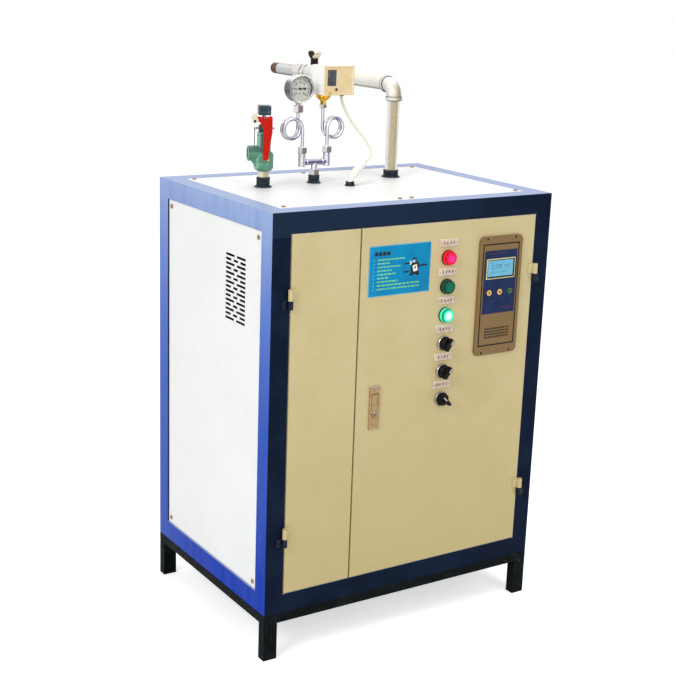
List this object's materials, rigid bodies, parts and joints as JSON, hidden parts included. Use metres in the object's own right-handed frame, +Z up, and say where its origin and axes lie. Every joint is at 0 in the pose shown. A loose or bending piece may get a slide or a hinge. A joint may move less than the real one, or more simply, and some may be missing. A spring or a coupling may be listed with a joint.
{
  "type": "electric steam boiler",
  "caption": "Cabinet electric steam boiler on a low steel base, with hinged doors, a control door, safety valve, siphon gauge, pressure switch and a valved steam outlet pipe.",
  "frame": {"origin": "on the floor, under the middle of the boiler's bounding box", "axes": "+Z up, +Y towards the back along the steam outlet pipe, +X to the right as seen from the front"},
  "size_m": [0.665, 0.852, 1.1452],
  "materials": {
    "frame_paint": "semi-gloss",
    "door_paint": "fine powder coat",
    "panel_paint": "smooth",
    "base_paint": "matte, worn",
    "zinc_sheet": "zinc plated",
    "screw_metal": "yellow zinc",
    "satin_metal": "satin",
    "pipe_metal": "galvanised",
    "chrome": "polished",
    "valve_brass": "nickel plated",
    "handle_paint": "gloss",
    "red_lens": "clear",
    "green_lens": "clear",
    "black_plastic": "satin",
    "label_metal": "printed",
    "plate_print": "printed film",
    "controller_plastic": "fine texture",
    "membrane_film": "film",
    "display_film": "clear",
    "amber_key": "gloss",
    "green_key": "gloss",
    "lock_metal": "satin",
    "collar_rubber": "matte",
    "dial_print": "printed",
    "needle_paint": "matte",
    "gauge_glass": "clear",
    "switch_case": "fine texture",
    "bellows_brass": "turned",
    "cable_sheath": "soft",
    "safety_green": "gloss enamel",
    "safety_dark": "gloss enamel",
    "lever_red": "gloss",
    "drum_steel": "rolled plate",
    "tank_steel": "stainless",
    "pump_paint": "gloss",
    "copper": "drawn"
  },
  "bodies": {
    "cabinet": {"base_frame": "base_paint", "cabinet_frame": "frame_paint", "floor_pan": "zinc_sheet", "side_panel_left": "panel_paint", "side_panel_right": "panel_paint", "back_panel": "panel_paint", "top_panel_left": "panel_paint", "top_panel_right": "panel_paint", "panel_screws": "screw_metal", "hinge_knuckles": "frame_paint", "rubber_collars": "collar_rubber", "siphon_fittings": "chrome", "siphon_gauge_side": "chrome", "siphon_switch_side": "chrome", "gauge_case": "chrome", "gauge_dial": "dial_print", "gauge_glass": "gauge_glass", "switch_box": "switch_case", "switch_bellows": "bellows_brass", "switch_cable": "cable_sheath", "cable_sleeve": "cable_sheath", "steam_pipes": "pipe_metal", "steam_elbow": "pipe_metal", "outlet_valve_body": "valve_brass", "safety_valve_body": "safety_green", "boiler_drum": "drum_steel", "heating_elements": "satin_metal", "water_tank": "tank_steel", "feed_pump": "pump_paint", "water_pipes": "copper", "electrical_plate": "zinc_sheet", "switchgear": "black_plastic"},
    "left_door": {"door_left": "door_paint"},
    "right_door": {"door_right": "door_paint", "control_bezels": "satin_metal", "lamp_lens_red": "red_lens", "lamp_lenses_green": "green_lens", "control_rear_blocks": "black_plastic", "label_plates": "label_metal", "instruction_plate": "plate_print", "controller_bezel": "controller_plastic", "controller_membrane": "membrane_film", "controller_display": "display_film", "controller_housing": "black_plastic", "lock_plate": "lock_metal"},
    "selector_upper": {"selector_knob_upper": "black_plastic"},
    "selector_middle": {"selector_knob_middle": "black_plastic"},
    "selector_lower": {"selector_knob_lower": "black_plastic"},
    "key_left": {"controller_key_left": "amber_key"},
    "key_middle": {"controller_key_middle": "amber_key"},
    "key_right": {"controller_key_right": "green_key"},
    "lock_handle": {"lock_lever": "lock_metal"},
    "lock_push": {"lock_button": "chrome"},
    "lock_bolt": {"lock_tongue": "zinc_sheet"},
    "needle": {"gauge_needle": "needle_paint"},
    "outlet_handle": {"outlet_valve_handle": "handle_paint"},
    "relief_lever": {"safety_valve_lever": "lever_red"},
    "relief_spindle": {"safety_valve_spindle": "safety_dark"},
    "pump_shaft": {"pump_rotor": "satin_metal"},
    "drain_handle": {"drain_valve_handle": "lever_red"}
  },
  "joints": [
    {"name": "left_door_swing", "type": "hinge", "parent": "cabinet", "child": "left_door", "pos_m": [-0.2945, -0.4055, 0.497], "axis": [0, 0, -1], "range_deg": [0, 120]},
    {"name": "right_door_swing", "type": "hinge", "parent": "cabinet", "child": "right_door", "pos_m": [0.2945, -0.4055, 0.497], "axis": [0, 0, 1], "range_deg": [0, 120]},
    {"name": "selector_upper_turn", "type": "hinge", "parent": "right_door", "child": "selector_upper", "pos_m": [0.069, -0.4, 0.6075], "axis": [0, -1, 0], "range_deg": [-9, 81]},
    {"name": "selector_middle_turn", "type": "hinge", "parent": "right_door", "child": "selector_middle", "pos_m": [0.069, -0.4, 0.549], "axis": [0, -1, 0], "range_deg": [-9, 81]},
    {"name": "selector_lower_turn", "type": "hinge", "parent": "right_door", "child": "selector_lower", "pos_m": [0.069, -0.4, 0.4905], "axis": [0, -1, 0], "range_deg": [-90, 0]},
    {"name": "key_left_press", "type": "slide", "parent": "right_door", "child": "key_left", "axis": [0, 1, 0], "range_m": [0, 0.0008], "stiffness_N_per_m": 800},
    {"name": "key_middle_press", "type": "slide", "parent": "right_door", "child": "key_middle", "axis": [0, 1, 0], "range_m": [0, 0.0008], "stiffness_N_per_m": 800},
    {"name": "key_right_press", "type": "slide", "parent": "right_door", "child": "key_right", "axis": [0, 1, 0], "range_m": [0, 0.0008], "stiffness_N_per_m": 800},
    {"name": "lock_handle_lift", "type": "hinge", "parent": "right_door", "child": "lock_handle", "pos_m": [-0.0945, -0.4023, 0.5212], "axis": [-1, 0, 0], "range_deg": [0, 60]},
    {"name": "lock_push_press", "type": "slide", "parent": "right_door", "child": "lock_push", "axis": [0, 1, 0], "range_m": [0, 0.003], "stiffness_N_per_m": 600},
    {"name": "lock_bolt_turn", "type": "hinge", "parent": "right_door", "child": "lock_bolt", "pos_m": [-0.0945, -0.38, 0.47], "axis": [0, 1, 0], "range_deg": [0, 90]},
    {"name": "needle_sweep", "type": "hinge", "parent": "cabinet", "child": "needle", "pos_m": [-0.0955, -0.091, 1.089], "axis": [0, 1, 0], "range_deg": [-45, 225], "stiffness_Nm_per_rad": 0.0005},
    {"name": "outlet_handle_turn", "type": "hinge", "parent": "cabinet", "child": "outlet_handle", "pos_m": [0.1415, 0.242, 1.0935], "axis": [0, 0, 1], "range_deg": [0, 90]},
    {"name": "relief_lever_lift", "type": "hinge", "parent": "cabinet", "child": "relief_lever", "pos_m": [-0.1935, -0.116, 1.015], "axis": [-0.9397, 0.342, 0], "range_deg": [0, 20]},
    {"name": "relief_spindle_lift", "type": "slide", "parent": "cabinet", "child": "relief_spindle", "axis": [0, 0, 1], "range_m": [0, 0.003], "stiffness_N_per_m": 2000},
    {"name": "pump_shaft_spin", "type": "hinge", "parent": "cabinet", "child": "pump_shaft", "pos_m": [-0.0755, -0.098, 0.201], "axis": [1, 0, 0], "continuous": true},
    {"name": "drain_handle_turn", "type": "hinge", "parent": "cabinet", "child": "drain_handle", "pos_m": [-0.1525, 0.103, 0.227], "axis": [0, 0, -1], "range_deg": [0, 90]}
  ],
  "couplings": [
    {"joint": "lock_bolt_turn", "follows": "lock_handle_lift", "ratio": 1.5},
    {"joint": "relief_lever_lift", "follows": "relief_spindle_lift", "rad_per_m": 116}
  ]
}
